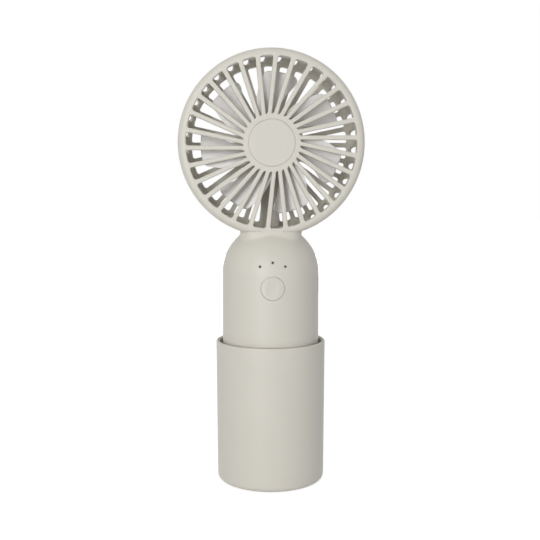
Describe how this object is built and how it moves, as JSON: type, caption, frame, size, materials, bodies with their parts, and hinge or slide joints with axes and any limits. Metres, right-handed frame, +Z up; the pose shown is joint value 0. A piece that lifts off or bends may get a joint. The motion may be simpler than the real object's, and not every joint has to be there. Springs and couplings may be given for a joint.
{
  "type": "handheld fan",
  "caption": "Rechargeable hand fan with a round caged head and a domed handle, standing in a cup-shaped holder.",
  "frame": {"origin": "middle of the foot's underside, on the table", "axes": "+Z up along the handle, -Y the way the fan faces and blows, +X to the right as it is seen from the front, the charging port's side"},
  "size_m": [0.09, 0.0546, 0.2136],
  "materials": {
    "shell_plastic": "fine matt moulded plastic, warm light grey",
    "grille_plastic": "fine matt moulded plastic, warm light grey",
    "badge_plastic": "satin moulded plastic",
    "button_plastic": "satin moulded plastic",
    "impeller_plastic": "matt moulded plastic, a shade cooler",
    "inner_plastic": "plain moulded plastic, unpainted",
    "foot_rubber": "matt non-slip rubber",
    "pad_rubber": "matt silicone rubber",
    "steel": "plain zinc-plated steel",
    "screw_steel": "zinc-plated",
    "magnet": "sintered ferrite",
    "bronze": "sintered bronze",
    "copper": "enamelled copper wire",
    "contact_metal": "nickel-plated contact strip",
    "battery_wrap": "shrink sleeve",
    "board": "solder-masked circuit board",
    "chip": "moulded black resin",
    "lens": "smoked clear plastic",
    "lamp": "small surface-mounted lamp",
    "lead_red": "insulated wire",
    "lead_black": "insulated wire"
  },
  "bodies": {
    "stand": {"stand_cup": "shell_plastic", "stand_foot": "foot_rubber"},
    "lift": {"handle_pad": "pad_rubber"},
    "fan": {"front_shell": "shell_plastic", "rear_shell": "shell_plastic", "shell_screws": "screw_steel", "bottom_cap": "shell_plastic", "cap_screws": "screw_steel", "battery_holder": "inner_plastic", "battery_cell": "battery_wrap", "battery_tabs": "contact_metal", "main_board": "board", "board_screws": "screw_steel", "charge_chip": "chip", "charge_coil": "chip", "switch_body": "chip", "usb_shell": "contact_metal", "usb_tongue": "chip", "indicator_leds": "lamp", "light_guide": "lens", "front_grille": "grille_plastic", "hub_badge": "badge_plastic", "rear_housing": "grille_plastic", "channel_cover": "inner_plastic", "motor_can": "steel", "motor_end_cap": "inner_plastic", "motor_magnets": "magnet", "motor_front_bushing": "bronze", "motor_rear_bushing": "bronze", "motor_brushes": "contact_metal", "motor_terminals": "contact_metal", "motor_mount": "inner_plastic", "motor_screws": "screw_steel", "battery_lead_red": "lead_red", "battery_lead_black": "lead_black", "motor_lead_red": "lead_red", "motor_lead_black": "lead_black"},
    "button": {"power_button": "button_plastic", "switch_plunger": "inner_plastic"},
    "rotor": {"impeller": "impeller_plastic", "motor_shaft": "steel", "rotor_core": "steel", "rotor_windings": "copper", "commutator": "copper"}
  },
  "joints": [
    {"name": "lift_out", "type": "slide", "parent": "stand", "child": "lift", "axis": [0, 0, 1], "range_m": [0, 0.08]},
    {"name": "turn_in_cup", "type": "hinge", "parent": "lift", "child": "fan", "pos_m": [0, 0, 0.0046], "axis": [0, 0, 1], "continuous": true},
    {"name": "impeller_spin", "type": "hinge", "parent": "fan", "child": "rotor", "pos_m": [0, 0, 0.1686], "axis": [0, 1, 0], "continuous": true},
    {"name": "button_press", "type": "slide", "parent": "fan", "child": "button", "axis": [0, 1, 0], "range_m": [0, 0.0004], "stiffness_N_per_m": 1500, "springref_m": -0.0005}
  ]
}
